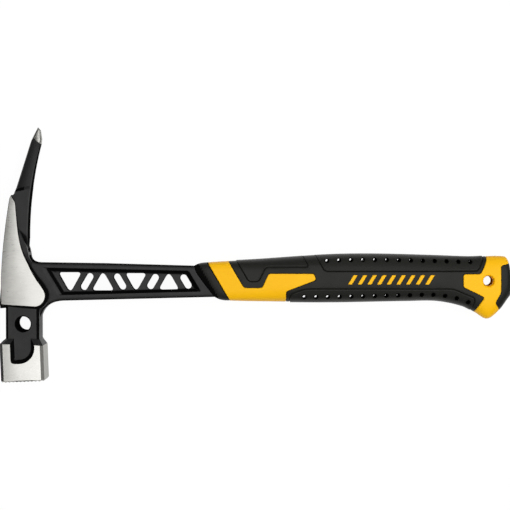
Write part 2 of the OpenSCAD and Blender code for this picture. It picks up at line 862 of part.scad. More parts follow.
steel_forging();
grip_core();
front_collar();
grip_sleeve();
thumb_pad();
upper_grip_pad();
lower_grip_pad();
butt_pad();
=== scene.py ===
# A roofing hammer: one forged steel piece, and a grip moulded on its tang from a hard yellow
# plastic core and soft black rubber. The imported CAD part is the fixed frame. Each piece is drawn
# in the part's own drawing axes, in mm: X runs down the shaft from the head's axis, Y points up
# the pick, and Z goes through the thickness, with the middle at 0.
import json
import math

import bmesh
import bpy
from mathutils import Matrix, Vector


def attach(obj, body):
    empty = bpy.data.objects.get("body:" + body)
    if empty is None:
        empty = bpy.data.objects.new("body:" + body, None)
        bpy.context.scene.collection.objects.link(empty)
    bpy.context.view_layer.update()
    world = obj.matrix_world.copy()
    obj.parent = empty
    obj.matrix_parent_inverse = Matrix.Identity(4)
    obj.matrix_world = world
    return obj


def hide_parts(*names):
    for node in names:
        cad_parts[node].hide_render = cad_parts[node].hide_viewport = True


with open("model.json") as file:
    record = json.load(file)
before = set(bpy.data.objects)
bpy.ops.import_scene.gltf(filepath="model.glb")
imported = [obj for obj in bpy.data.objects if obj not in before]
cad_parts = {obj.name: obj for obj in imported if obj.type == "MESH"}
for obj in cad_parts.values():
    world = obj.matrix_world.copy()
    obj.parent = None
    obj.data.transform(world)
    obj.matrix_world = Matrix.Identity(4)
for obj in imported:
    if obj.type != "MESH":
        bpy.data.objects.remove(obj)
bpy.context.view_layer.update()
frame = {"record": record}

# The neck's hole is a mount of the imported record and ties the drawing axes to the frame
MM = 0.001
NECK_HOLE_DROP = 27
mounts = {m["name"]: Vector(m["pos_m"]) for m in frame["record"]["mounts"]}
origin = mounts["neck_hole"] + Vector((0, NECK_HOLE_DROP, 0)) * MM
to_frame = Matrix.Translation(origin) @ Matrix.Scale(MM, 4)

# Sizes of the steel: the part's own, with outlines and edges fitted to the photo
BLOCK_W, BLOCK_CHAMFER, BLOCK_H, SHOULDER_H = 28, 2, 27.9, 3.9
BLOCK_X, BLOCK_TOP, FACE_TILT, SHOULDER_TILT = -0.85, -36.4, 2.2, 2.2
TOOTH_COUNT, TOOTH_DEPTH, FACE_BEVEL, FACE_BEVEL_H = 12, 0.55, 0.75, 1.07
SCALLOP_W, SCALLOP_H, SCALLOP_FRONT_R, SCALLOP_BACK_R = 15.8, 12.2, 2.6, 10
NECK_LEFT, NECK_RIGHT, NECK_T, NECK_CHAMFER, NECK_DRAFT = -11.7, 11.3, 21.5, 1.3, 0.7
NECK_HOLE_D = 9.6
CHEEK_T, CHEEK_TIP_T, CHEEK_FRONT, CHEEK_RISE = 27, 18, 13.75, 56
CHEEK_LEAN, CHEEK_DROP, CHEEK_BACK, CHEEK_CURVE = 5.5, 15.8, 14.85, 1.7
PICK_RISE, PICK_LEAN, PICK_LEDGE, PICK_BACK = 100, 9.1, 59.2, 2.9
PICK_ROOT_T, PICK_NECK_T, PICK_TIP_T, PICK_POINT_H = 16, 7, 3.2, 8.8
PICK_CURVE = 2.1
SHAFT_TOP, SHAFT_BOTTOM = (12.75, 10.2), (-12.78, -9.8)
SHAFT_T, WEB_T, TOP_FLANGE_H, LOW_FLANGE_H = 14, 5.6, 3.1, 3.75
PANEL_START, PANEL_END_GAP, PANEL_SLANT = 20.6, 6.2, 31
WINDOW_PAIRS, WINDOW_PITCH, FIRST_WINDOW, WINDOW_HALF = 4, 21.4, 29.6, (6.5, 4.9)
WINDOW_SLANT, APEX_REACH, SLOT_W, SLOT_SLANT, SLOT_SHORT = 29.3, 1.6, 4.6, 30.5, 0.4
TANG_H, TANG_T, TANG_Y, TANG_END = 10, 7, 1.5, 286

# Sizes of the grip: the part's own, with outlines and edges fitted to the photo
MOUTH_X, GRIP_END, FAR_Y = 117.4, 315.2, 32
LEAN = math.tan(math.radians(31))
BAND_X, FLAME_X, FLAME_END, FLAME_FOOT = 126.6, 140.4, 189, 169.8
THUMB_X, TONGUE_X, THUMB_END, UPPER_X = 145.8, 158.6, 184.6, 198.6
REAR_TONGUE, REAR_WAIST, REAR_EDGE, REAR_NOTCH = 284, 295.2, 299.4, 297.8
HANG_HOLE_X, HANG_HOLE_Y, HANG_HOLE_D = 300.3, 0.7, 6.1
BUTT_INNER, BUTT_HEEL = 308.5, 304.8
SEAM_DEPTH, PAD_RAISE = 0.6, 0.4
COLLAR_W, COLLAR_FRONT, COLLAR_SLOPE, COLLAR_STEP = 9.2, 115.6, 6.7, 2.6
MOUTH_TOP, CROWN_TOP, DIP_TOP, BUTT_TOP = 11.8, 17.8, 16.05, 16.4
MOUTH_BOTTOM, BELLY_BOTTOM, WAIST_BOTTOM, HOOK_BOTTOM = 11.6, 13.05, 12.15, 24
MOUTH_T, CROWN_T, BUTT_T = 19.4, 27, 19
MOUTH_POWER, SECTION_POWER = 4.6, 2.5


def between(a, b, share):
    return a + (b - a) * share


# Stations along the grip, and its top edge, lower edge, thickness and squareness there
GRIP_START, LIP_X, SWELL_X, RISE_X, CROWN_X = 109.4, 124.4, 150.4, 197.4, 227.4
WAIST_X, WAIST_END_X, DIP_X, HOOK_X, HOOK_RUN = 248.8, 267.8, 288, 300.4, 16
CORNER_X, TIP_X = 311.6, 314
GRIP_TOP = [
    (GRIP_START, MOUTH_TOP), (LIP_X, between(MOUTH_TOP, CROWN_TOP, 0.18)),
    (SWELL_X, between(MOUTH_TOP, CROWN_TOP, 0.41)), (RISE_X, between(MOUTH_TOP, CROWN_TOP, 0.93)),
    (CROWN_X, CROWN_TOP), (WAIST_END_X, between(CROWN_TOP, DIP_TOP, 0.6)), (DIP_X, DIP_TOP),
    (CORNER_X, BUTT_TOP),
    (TIP_X, 0.8 * BUTT_TOP), (GRIP_END, 0.48 * BUTT_TOP),
]
GRIP_BOTTOM = [
    (GRIP_START, -MOUTH_BOTTOM), (LIP_X, -between(MOUTH_BOTTOM, BELLY_BOTTOM, 0.25)),
    (SWELL_X, -between(MOUTH_BOTTOM, BELLY_BOTTOM, 0.75)), (RISE_X, -BELLY_BOTTOM),
    (WAIST_X, -WAIST_BOTTOM), (WAIST_END_X, -WAIST_BOTTOM),
    (HOOK_X - HOOK_RUN, -between(WAIST_BOTTOM, HOOK_BOTTOM, 0.29)),
    (HOOK_X - HOOK_RUN / 2, -between(WAIST_BOTTOM, HOOK_BOTTOM, 0.65)), (HOOK_X, -HOOK_BOTTOM),
    (HOOK_X + HOOK_RUN / 2, -between(WAIST_BOTTOM, HOOK_BOTTOM, 0.5)), (TIP_X, -0.86 * WAIST_BOTTOM),
    (GRIP_END, -0.75 * WAIST_BOTTOM),
]
GRIP_THICKNESS = [
    (GRIP_START, MOUTH_T), (LIP_X, between(MOUTH_T, CROWN_T, 0.18)),
    (SWELL_X, between(MOUTH_T, CROWN_T, 0.63)), (RISE_X, between(MOUTH_T, CROWN_T, 0.95)),
    (CROWN_X, CROWN_T), (WAIST_END_X, between(CROWN_T, BUTT_T, 0.13)),
    (HOOK_X - HOOK_RUN, between(CROWN_T, BUTT_T, 0.6)), (HOOK_X, BUTT_T), (CORNER_X, 0.9 * BUTT_T),
    (TIP_X, 0.8 * BUTT_T), (GRIP_END, 0.63 * BUTT_T),
]
GRIP_POWER = [
    (GRIP_START, MOUTH_POWER), (BAND_X, between(MOUTH_POWER, SECTION_POWER, 0.2)),
    (SWELL_X, between(MOUTH_POWER, SECTION_POWER, 0.75)), (RISE_X, SECTION_POWER),
    (CROWN_X, SECTION_POWER), (GRIP_END, SECTION_POWER),
]


# Materials

def linear(colour):
    """An sRGB hex colour as linear RGBA."""
    parts = [int(colour[i:i + 2], 16) / 255 for i in (1, 3, 5)]
    return [c / 12.92 if c <= 0.04045 else ((c + 0.055) / 1.055) ** 2.4 for c in parts] + [1]


def add_node(tree, kind, settings=(), **inputs):
    """A node with its settings, and its inputs set or linked by name."""
    node = tree.nodes.new(kind)
    for key, value in dict(settings).items():
        setattr(node, key, value)
    for key, value in inputs.items():
        socket = node.inputs[int(key[1:]) if key[1:].isdigit() else key.replace("_", " ")]
        if isinstance(value, bpy.types.NodeSocket):
            tree.links.new(value, socket)
        else:
            socket.default_value = value
    return node


def new_material(name, **shader):
    """A material with one principled shader, its tree, and its place in mm."""
    material = bpy.data.materials.new(name)
    material.use_nodes = True
    tree = material.node_tree
    principled = tree.nodes["Principled BSDF"]
    for key, value in shader.items():
        principled.inputs[key.replace("_", " ")].default_value = value
    place = add_node(tree, "ShaderNodeTexCoord").outputs["Object"]
    in_mm = add_node(tree, "ShaderNodeVectorMath", {"operation": "SCALE"}, Vector=place, Scale=1 / MM)
    return material, tree, principled, in_mm.outputs["Vector"]


def satin_black_paint():
    # Baked black paint on forged steel: a satin sheen with a slight orange peel over the faint
    # unevenness of the forging
    material, tree, shader, mm = new_material(
        "satin_black_paint_on_forged_steel", Roughness=0.5, Specular_IOR_Level=0.27)
    peel = add_node(tree, "ShaderNodeTexNoise", Vector=mm, Scale=1 / 0.9, Detail=3.0, Roughness=0.6)
    wave = add_node(tree, "ShaderNodeTexNoise", Vector=mm, Scale=1 / 7, Detail=2.0)
    gloss = add_node(tree, "ShaderNodeMapRange", Value=wave.outputs["Fac"], From_Min=0.3,
                     From_Max=0.7, To_Min=0.46, To_Max=0.54)
    tint = add_node(tree, "ShaderNodeMix", {"data_type": "RGBA"}, Factor=peel.outputs["Fac"],
                    _6=linear("#0f0f0f"), _7=linear("#181818"))
    forged = add_node(tree, "ShaderNodeBump", Strength=0.25, Distance=0.12 * MM,
                      Height=wave.outputs["Fac"])
    bump = add_node(tree, "ShaderNodeBump", Strength=0.35, Distance=0.05 * MM,
                    Height=peel.outputs["Fac"], Normal=forged.outputs["Normal"])
    tree.links.new(tint.outputs[2], shader.inputs["Base Color"])
    tree.links.new(gloss.outputs["Result"], shader.inputs["Roughness"])
    tree.links.new(bump.outputs["Normal"], shader.inputs["Normal"])
    return material


def black_paint_with_painted_shade():
    # The same paint, darker and with no sheen, in holes, recesses and under edges: painted shade,
    # so that these walls read as black
    material, tree, shader, mm = new_material(
        "black_paint_painted_as_shade_in_recesses", Roughness=0.9, Specular_IOR_Level=0.0)
    grit = add_node(tree, "ShaderNodeTexNoise", Vector=mm, Scale=1 / 0.6, Detail=3.0, Roughness=0.6)
    tint = add_node(tree, "ShaderNodeMix", {"data_type": "RGBA"}, Factor=grit.outputs["Fac"],
                    _6=linear("#090909"), _7=linear("#101010"))
    tree.links.new(tint.outputs[2], shader.inputs["Base Color"])
    return material


def ground_steel():
    # Bare carbon steel from a belt grinder: fine scratches run across the head and spread the
    # reflection, drawn coarser than grit so that they show
    material, tree, shader, mm = new_material(
        "belt_ground_carbon_steel", Metallic=1.0, Roughness=0.3, Specular_Tint=linear("#dddddb"))
    along = add_node(tree, "ShaderNodeVectorMath", {"operation": "MULTIPLY"}, Vector=mm,
                     _1=(0.05, 1.0, 1.0))
    scratch = add_node(tree, "ShaderNodeTexNoise", Vector=along.outputs["Vector"], Scale=1 / 0.35,
                       Detail=4.0, Roughness=0.65)
    cloud = add_node(tree, "ShaderNodeTexNoise", Vector=mm, Scale=1 / 11, Detail=2.0)
    gloss = add_node(tree, "ShaderNodeMapRange", Value=scratch.outputs["Fac"], From_Min=0.3,
                     From_Max=0.7, To_Min=0.26, To_Max=0.36)
    shade = add_node(tree, "ShaderNodeMix", {"data_type": "FLOAT"}, Factor=0.35,
                     _2=scratch.outputs["Fac"], _3=cloud.outputs["Fac"])
    tone = add_node(tree, "ShaderNodeMapRange", Value=shade.outputs[0], From_Min=0.35, From_Max=0.65,
                    To_Min=0.0, To_Max=1.0)
    tint = add_node(tree, "ShaderNodeMix", {"data_type": "RGBA"}, Factor=tone.outputs["Result"],
                    _6=linear("#9d9c98"), _7=linear("#aeada9"))
    bump = add_node(tree, "ShaderNodeBump", Strength=0.2, Distance=0.03 * MM,
                    Height=scratch.outputs["Fac"])
    tree.links.new(tint.outputs[2], shader.inputs["Base Color"])
    tree.links.new(gloss.outputs["Result"], shader.inputs["Roughness"])
    tree.links.new(bump.outputs["Normal"], shader.inputs["Normal"])
    return material


def yellow_plastic():
    # Polypropylene, injection moulded: an even warm yellow with a soft sheen from a lightly
    # blasted mould
    material, tree, shader, mm = new_material(
        "moulded_yellow_polypropylene", Roughness=0.45, Specular_IOR_Level=0.15)
    grain = add_node(tree, "ShaderNodeTexNoise", Vector=mm, Scale=1 / 0.5, Detail=2.0)
    flow = add_node(tree, "ShaderNodeTexNoise", Vector=mm, Scale=1 / 16, Detail=1.0)
    tint = add_node(tree, "ShaderNodeMix", {"data_type": "RGBA"}, Factor=flow.outputs["Fac"],
                    _6=linear("#fbbb00"), _7=linear("#ffc206"))
    gloss = add_node(tree, "ShaderNodeMapRange", Value=grain.outputs["Fac"], From_Min=0.3,
                     From_Max=0.7, To_Min=0.42, To_Max=0.5)
    bump = add_node(tree, "ShaderNodeBump", Strength=0.15, Distance=0.04 * MM,
                    Height=grain.outputs["Fac"])
    tree.links.new(tint.outputs[2], shader.inputs["Base Color"])
    tree.links.new(gloss.outputs["Result"], shader.inputs["Roughness"])
    tree.links.new(bump.outputs["Normal"], shader.inputs["Normal"])
    return material


def soft_rubber(name, sheen, dark, light):
    # Thermoplastic rubber, moulded over the core: deep matt black with a fine spark-eroded grain
    # that keeps only a broad, weak highlight; its darker copy with no sheen is painted shade in holes and
    # steps
    material, tree, shader, mm = new_material(name, Roughness=0.5, Specular_IOR_Level=sheen)
    grain = add_node(tree, "ShaderNodeTexNoise", Vector=mm, Scale=1 / 0.55, Detail=3.0, Roughness=0.7)
    patch = add_node(tree, "ShaderNodeTexNoise", Vector=mm, Scale=1 / 9, Detail=2.0)
    tint = add_node(tree, "ShaderNodeMix", {"data_type": "RGBA"}, Factor=grain.outputs["Fac"],
                    _6=linear(dark), _7=linear(light))
    gloss = add_node(tree, "ShaderNodeMapRange", Value=patch.outputs["Fac"], From_Min=0.3,
                     From_Max=0.7, To_Min=0.38, To_Max=0.46)
    bump = add_node(tree, "ShaderNodeBump", Strength=0.4, Distance=0.06 * MM,
                    Height=grain.outputs["Fac"])
    tree.links.new(tint.outputs[2], shader.inputs["Base Color"])
    tree.links.new(gloss.outputs["Result"], shader.inputs["Roughness"])
    tree.links.new(bump.outputs["Normal"], shader.inputs["Normal"])
    return material


# Steel finishes: satin paint, ground steel, and the paint made darker and sheenless as painted shade
PAINT, GROUND, PAINTED_SHADE = 0, 1, 2
steel_finishes = [satin_black_paint(), ground_steel(), black_paint_with_painted_shade()]
yellow = yellow_plastic()
rubber = soft_rubber("overmoulded_black_soft_rubber", 0.13, "#191917", "#22221e")
# Painted shade: a darker copy with no sheen for holes, steps and seams
rubber_with_painted_shade = soft_rubber("black_soft_rubber_painted_as_shade_in_holes_and_steps", 0, "#090909", "#10100f")
# The same plastic, painted brown and without a sheen as shade, on the hang hole's wall
yellow_with_painted_shade, *_ = new_material("yellow_polypropylene_painted_brown_as_shade", Base_Color=linear("#8a5000"), Roughness=0.8,
                           Specular_IOR_Level=0.0)


# Making pieces

def link_mesh(bm, name, materials):
    """The bmesh as an object at the origin."""
    mesh = bpy.data.meshes.new(name)
    bm.to_mesh(mesh)
    bm.free()
    for material in materials:
        mesh.materials.append(material)
    piece = bpy.data.objects.new(name, mesh)
    bpy.context.scene.collection.objects.link(piece)
    return piece


def place_piece(bm, name, node, materials, sharp=38):
    """Carries a finished shape into the frame, where it stands for a CAD node."""
    bmesh.ops.recalc_face_normals(bm, faces=bm.faces)
    bm.transform(to_frame)
    for face in bm.faces:
        face.smooth = True
    for edge in bm.edges:
        edge.smooth = edge.calc_face_angle(0) < math.radians(sharp)
    piece = link_mesh(bm, name, materials)
    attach(piece, "root")
    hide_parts(node)
    return piece


def everything(bm):
    return bm.verts[:] + bm.edges[:] + bm.faces[:]


def mirror_below(bm):
    """Adds the other half, below the mid-plane, and joins the two there."""
    bmesh.ops.mirror(bm, geom=everything(bm), matrix=Matrix(), merge_dist=1e-4, axis="Z")
    bmesh.ops.remove_doubles(bm, verts=bm.verts, dist=1e-5)
    bmesh.ops.recalc_face_normals(bm, faces=bm.faces)


def cut_lines(bm, axis, lines):
    """Cuts every face along planes square to an axis, so that the shape can bend there."""
    across = Vector([float(i == axis) for i in range(3)])
    for line in lines:
        bmesh.ops.bisect_plane(bm, geom=everything(bm), dist=1e-5, plane_co=across * line,
                               plane_no=across)


def steps(low, high, size):
    count = max(1, math.ceil((high - low) / size))
    return [between(low, high, i / count) for i in range(1, count)]


def bezier(a, b, c, d, count=16):
    a, b, c, d = (Vector(p) for p in (a, b, c, d))
    return [tuple(a * (1 - t) ** 3 + b * 3 * t * (1 - t) ** 2 + c * 3 * t * t * (1 - t) + d * t ** 3)
            for t in (i / count for i in range(count + 1))]


def eased(points, radius, closed=True, count=5):
    """An outline with its corners rounded, all alike or each by its own reach."""
    reaches = [radius] * len(points) if isinstance(radius, (int, float)) else radius
    done = []
    last = len(points) - 1
    for i, p in enumerate(points):
        if reaches[i] == 0 or (not closed and i in (0, last)):
            done.append(tuple(p))
            continue
        p = Vector(p)
        a, b = Vector(points[i - 1]) - p, Vector(points[(i + 1) % len(points)]) - p
        reach = min(reaches[i], 0.45 * a.length, 0.45 * b.length)
        a, b = p + a.normalized() * reach, p + b.normalized() * reach
        done += [tuple(a * (1 - t) ** 2 + p * 2 * t * (1 - t) + b * t * t)
                 for t in (k / count for k in range(count + 1))]
    return done


def offset(points, distances):
    """A closed outline with each side moved to its left by its own distance."""
    count = len(points)
    flat = [Vector(p) for p in points]
    sides = []
    for i in range(count):
        d = (flat[(i + 1) % count] - flat[i]).normalized()
        sides.append(Vector((-d.y, d.x)))
    done = []
    for i, p in enumerate(flat):
        m, n, a, b = sides[i - 1], sides[i], distances[i - 1], distances[i]
        cosine = max(-0.9, m.dot(n))
        if cosine > 0.999:
            done.append(p + (m * a + n * b) / 2)
        else:
            done.append(p + (m * (a - b * cosine) + n * (b - a * cosine)) / (1 - cosine * cosine))
    return [tuple(p) for p in done]


def anticlockwise(points):
    turn = sum(a[0] * b[1] - b[0] * a[1] for a, b in zip(points, points[1:] + points[:1]))
    return list(points) if turn > 0 else list(reversed(points))


def inset(points, by):
    points = anticlockwise(points)
    return offset(points, [by] * len(points))


def loft(rings):
    """Rings of equal counts from the mid-plane up, bridged and capped at the top."""
    bm = bmesh.new()
    below = None
    for ring in rings:
        verts = [bm.verts.new(p) for p in ring]
        edges = [bm.edges.new(pair) for pair in zip(verts, verts[1:] + verts[:1])]
        if below:
            bmesh.ops.bridge_loops(bm, edges=below + edges)
        below = edges
    bmesh.ops.contextual_create(bm, geom=below)
    bmesh.ops.recalc_face_normals(bm, faces=bm.faces)
    return bm


def stacked(outline, levels, ease=0):
    """The outline at each (inset, height), with its corners eased if it is drawn by corners."""
    for by, z in levels:
        ring = inset(outline, by)
        if ease:
            ring = eased(ring, max(0.3, ease - by / 2))
        yield [(x, y, z) for x, y in ring]


def slab(outline, levels, ease=0):
    """The upper half of a slab: (inset, height) from its edge to its face."""
    return loft(stacked(outline, levels, ease))


def rounded_edge(height, radius, first=0.0):
    """Levels for a slab whose edge is a quarter round."""
    return [(first, 0.0)] + [
        (first + radius * (1 - math.cos(a)), height - radius * (1 - math.sin(a)))
        for a in (math.radians(d) for d in (0, 22, 45, 68, 90))]


def cutter(levels):
    """A closed cutting tool from rings of equal counts, from the bottom up."""
    bm = loft(levels)
    bmesh.ops.holes_fill(bm, edges=[e for e in bm.edges if e.is_boundary])
    bmesh.ops.recalc_face_normals(bm, faces=bm.faces)
    return bm


def give_walls_painted_shade(bm, steeper=0.75):
    """Gives the steep faces of a cutting tool the darker, sheenless paint of painted shade, which they
    leave in the cut.
    """
    for face in bm.faces:
        if abs(face.normal.z) < steeper:
            face.material_index = PAINTED_SHADE
    return bm


def upside_down(bm):
    other = bm.copy()
    bmesh.ops.scale(other, vec=(1, 1, -1), verts=other.verts)
    bmesh.ops.recalc_face_normals(other, faces=other.faces)
    return other


def combine(base, added, removed):
    """Joins and cuts solid shapes, and gives back the result as a bmesh."""
    body = link_mesh(base, "base", steel_finishes)
    tools = []
    for shapes, how in ((added, "UNION"), (removed, "DIFFERENCE")):
        for shape in shapes:
            tool = link_mesh(shape, "tool", steel_finishes)
            modifier = body.modifiers.new("join", "BOOLEAN")
            modifier.object, modifier.operation, modifier.solver = tool, how, "EXACT"
            tools.append(tool)
    done = bmesh.new()
    done.from_object(body, bpy.context.evaluated_depsgraph_get())
    for spent in tools + [body]:
        bpy.data.objects.remove(spent)
    return done


# The forging

def shaft_top(x):
    return between(*SHAFT_TOP, x / MOUTH_X)


def shaft_bottom(x):
    return between(*SHAFT_BOTTOM, x / MOUTH_X)


def shaft():
    end = MOUTH_X + COLLAR_W / 2
    high, low, foot = shaft_top(10), shaft_bottom(22), NECK_RIGHT - NECK_DRAFT
    outline = [(-4, high + 9)]
    outline += bezier((PICK_BACK + 0.2, high + 9), (PICK_BACK + 0.4, high + 2.5),
                      (PICK_BACK + 2.6, high + 0.1), (PICK_BACK + 7.5, high))
    # The top edge is slightly crowned
    outline += [(52, shaft_top(52) + 0.3), (end - shaft_top(end) * LEAN, shaft_top(end)),
                (end - shaft_bottom(end) * LEAN, shaft_bottom(end))]
    outline += bezier((foot + 15, low), (foot + 5.4, low - 0.5), (foot + 0.6, low - 5.5), (foot, low - 13))
    outline += [(-4, low - 13)]
    # The sides that end inside the head keep their place, the others are rounded
    outline = anticlockwise(outline)
    rounded = [0] + [1] * (len(outline) - 3) + [0, 0]
    bm = loft([[(x, y, z) for x, y in offset(outline, [by * share for share in rounded])]
               for by, z in rounded_edge(SHAFT_T / 2, 2.3)])
    # Painted shade: the rounded edges, and the steep faces by the pick's corner, get the darker, sheenless
    # paint
    for face in bm.faces:
        x, y, _ = face.calc_center_median()
        corner = x < PICK_BACK + 7.5 and y > high
        if face.normal.z < 0.5 and corner or 0.1 < face.normal.z < 0.7:
            face.material_index = PAINTED_SHADE
    mirror_below(bm)
    return bm


def tang():
    low, high = TANG_Y - TANG_H / 2, TANG_Y + TANG_H / 2
    bm = slab([(MOUTH_X, low), (TANG_END, low), (TANG_END, high), (MOUTH_X, high)],
              [(0, 0), (0, TANG_T / 2 - 0.5), (0.5, TANG_T / 2)])
    mirror_below(bm)
    return bm


def panel_cutter():
    """The recess in the shaft's side: steep walls, and a gentle slope first at its head end."""
    run = math.tan(math.radians(PANEL_SLANT))
    start, end = PANEL_START, MOUTH_X - PANEL_END_GAP
    corners = []
    for x, y in ((start, shaft_bottom(start) + LOW_FLANGE_H), (end, shaft_bottom(end) + LOW_FLANGE_H),
                 (end, shaft_top(end) - TOP_FLANGE_H), (start, shaft_top(start) - TOP_FLANGE_H)):
        corners.append((x - y * run, y))
    face, floor = SHAFT_T / 2, WEB_T / 2
    rings = []
    for by, head_end, z in ((2.9, 2.3, floor), (2.15, 1.55, floor + 0.1), (1.75, 1.1, floor + 0.45),
                            (0.35, -0.5, face - 1), (0.2, -0.9, face - 0.7), (0, -2.5, face - 0.15),
                            (-0.35, -3.1, face + 0.02), (-1.6, -4.4, face + 0.4)):
        ring = eased(offset(corners, [by, 1.5 * by, 1.2 * by, head_end]), max(0.3, 1.2 - by / 2))
        rings.append([(x, y, z) for x, y in ring])
    return give_walls_painted_shade(cutter(rings))


def window_outlines():
    """Triangles by turns upside down, with a slanted slot after each."""
    for i in range(WINDOW_PAIRS):
        up = -1 if i % 2 == 0 else 1
        x = FIRST_WINDOW + i * WINDOW_PITCH
        half = between(*WINDOW_HALF, x / MOUTH_X)
        reach = (2 * half + APEX_REACH) * math.tan(math.radians(WINDOW_SLANT))
        yield eased([(x - reach, -up * half), (x + reach, -up * half), (x, up * (half + APEX_REACH))],
                    (2.8, 2.8, 4.6), count=8)
        x += WINDOW_PITCH / 2 + SLOT_SHORT
        half = between(*WINDOW_HALF, x / MOUTH_X) - SLOT_W / 2 - SLOT_SHORT
        lean = math.radians(-up * SLOT_SLANT)
        ends = []
        for side in (1, -1):
            for k in range(13):
                a = math.pi * (k / 12) - (0 if side == 1 else math.pi) - lean
                ends.append((x + side * half * math.tan(lean) + SLOT_W / 2 * math.cos(a),
                             side * half + SLOT_W / 2 * math.sin(a)))
        yield ends


def window_cutters():
    floor = WEB_T / 2
    for outline in window_outlines():
        bm = slab(outline, ((0, 0), (0, floor - 0.25), (-0.2, floor + 0.02), (-0.2, floor + 0.8)))
        mirror_below(bm)
        yield give_walls_painted_shade(bm)


def cheek_edges():
    """The ground face's outline, and how far the painted wall below it flares at each point."""
    count = 20
    front = [(CHEEK_LEAN * t ** CHEEK_CURVE - CHEEK_FRONT, CHEEK_RISE * t)
             for t in (0.96 * i / count for i in range(count + 1))]
    tip = (CHEEK_LEAN - CHEEK_FRONT + 0.7, CHEEK_RISE)
    shoulder, waist, foot = (tip[0] + 2.8, CHEEK_RISE - 4.9), (3.4, 12.4), (10.4, -0.1)
    lobe, heel = (CHEEK_BACK, -8.6), (8.4, -CHEEK_DROP)
    back = bezier(shoulder, (shoulder[0] + 1.4, shoulder[1] - 13.4), (waist[0] - 6.7, waist[1] + 11.6),
                  waist, 20)
    slope = bezier(waist, (waist[0] + 1.2, waist[1] - 2.7), (foot[0] - 2.8, foot[1] + 3.5), foot, 10)
    upper = bezier(foot, (foot[0] + 2, foot[1] - 2.8), (lobe[0], lobe[1] + 2.7), lobe, 8)
    under = bezier(lobe, (lobe[0], lobe[1] - 3.6), (heel[0] + 3.8, heel[1] + 0.2), heel, 10)
    bottom = [(between(heel[0], -CHEEK_FRONT + 0.6, i / 8), between(heel[1], 1.3 - CHEEK_DROP, i / 8))
              for i in range(1, 9)]
    outline = (front + [tip] + back[:-1] + slope[:-1] + upper[:-1] + under + bottom
               + [(-CHEEK_FRONT, 2.1 - CHEEK_DROP)])
    flare = ([0.1] * (len(front) + 1)
             + [between(0.05, 0.4, i / 20) for i in range(20)]
             + [between(0.6, 2.2, i / 10) for i in range(10)]
             + [2.2] * 8 + [between(2.2, 2, i / 10) for i in range(11)]
             + [2] * 6 + [2.2, 2.8, 1.4])
    return outline, flare


def cheek_height(y):
    share = (y + CHEEK_DROP) / (CHEEK_RISE + CHEEK_DROP)
    return between(CHEEK_T, CHEEK_TIP_T, share) / 2


def cheek():
    outline, flare = cheek_edges()
    outer = offset(outline, [1] * len(outline))
    rings = []
    for by, share, drop in ((1, 0, 0), (0.9, 0.78, 0), (0.06, 1, 0.9), (0, 1, 0.25)):
        rings.append([(between(u, x, f * by), between(v, y, f * by), cheek_height(v) * share - drop)
                      for (u, v), (x, y), f in zip(outline, outer, flare)])
    rings.append([(x, y, cheek_height(v))
                  for (x, y), (u, v) in zip(offset(outline, [-0.25] * len(outline)), outline)])
    bm = loft(rings)
    # The ground face is crowned: it turns away towards its front edge
    cut_lines(bm, 0, steps(-CHEEK_FRONT, CHEEK_BACK, 1.2))
    cut_lines(bm, 1, steps(-CHEEK_DROP, CHEEK_RISE, 2.5))
    for vert in bm.verts:
        x, y, _ = vert.co
        front = CHEEK_LEAN * max(0, y / CHEEK_RISE) ** CHEEK_CURVE - CHEEK_FRONT
        width = between(CHEEK_FRONT + CHEEK_BACK, 5, min(1, max(0, (y + 8.6) / 60)) ** 0.7)
        away = max(0, 1 - (x - front) / width)
        turn = between(0.042, 0.066, max(0, y / CHEEK_RISE))
        vert.co.z *= 1 - turn * width * away ** 2.2 / cheek_height(y)
    bm.normal_update()
    # The ground face stays bright; the flaring walls under it get painted shade, the darker, sheenless
    # paint
    for face in bm.faces:
        up = face.normal.z
        face.material_index = GROUND if up > 0.85 else PAINTED_SHADE if up > 0.05 else PAINT
    mirror_below(bm)
    return bm


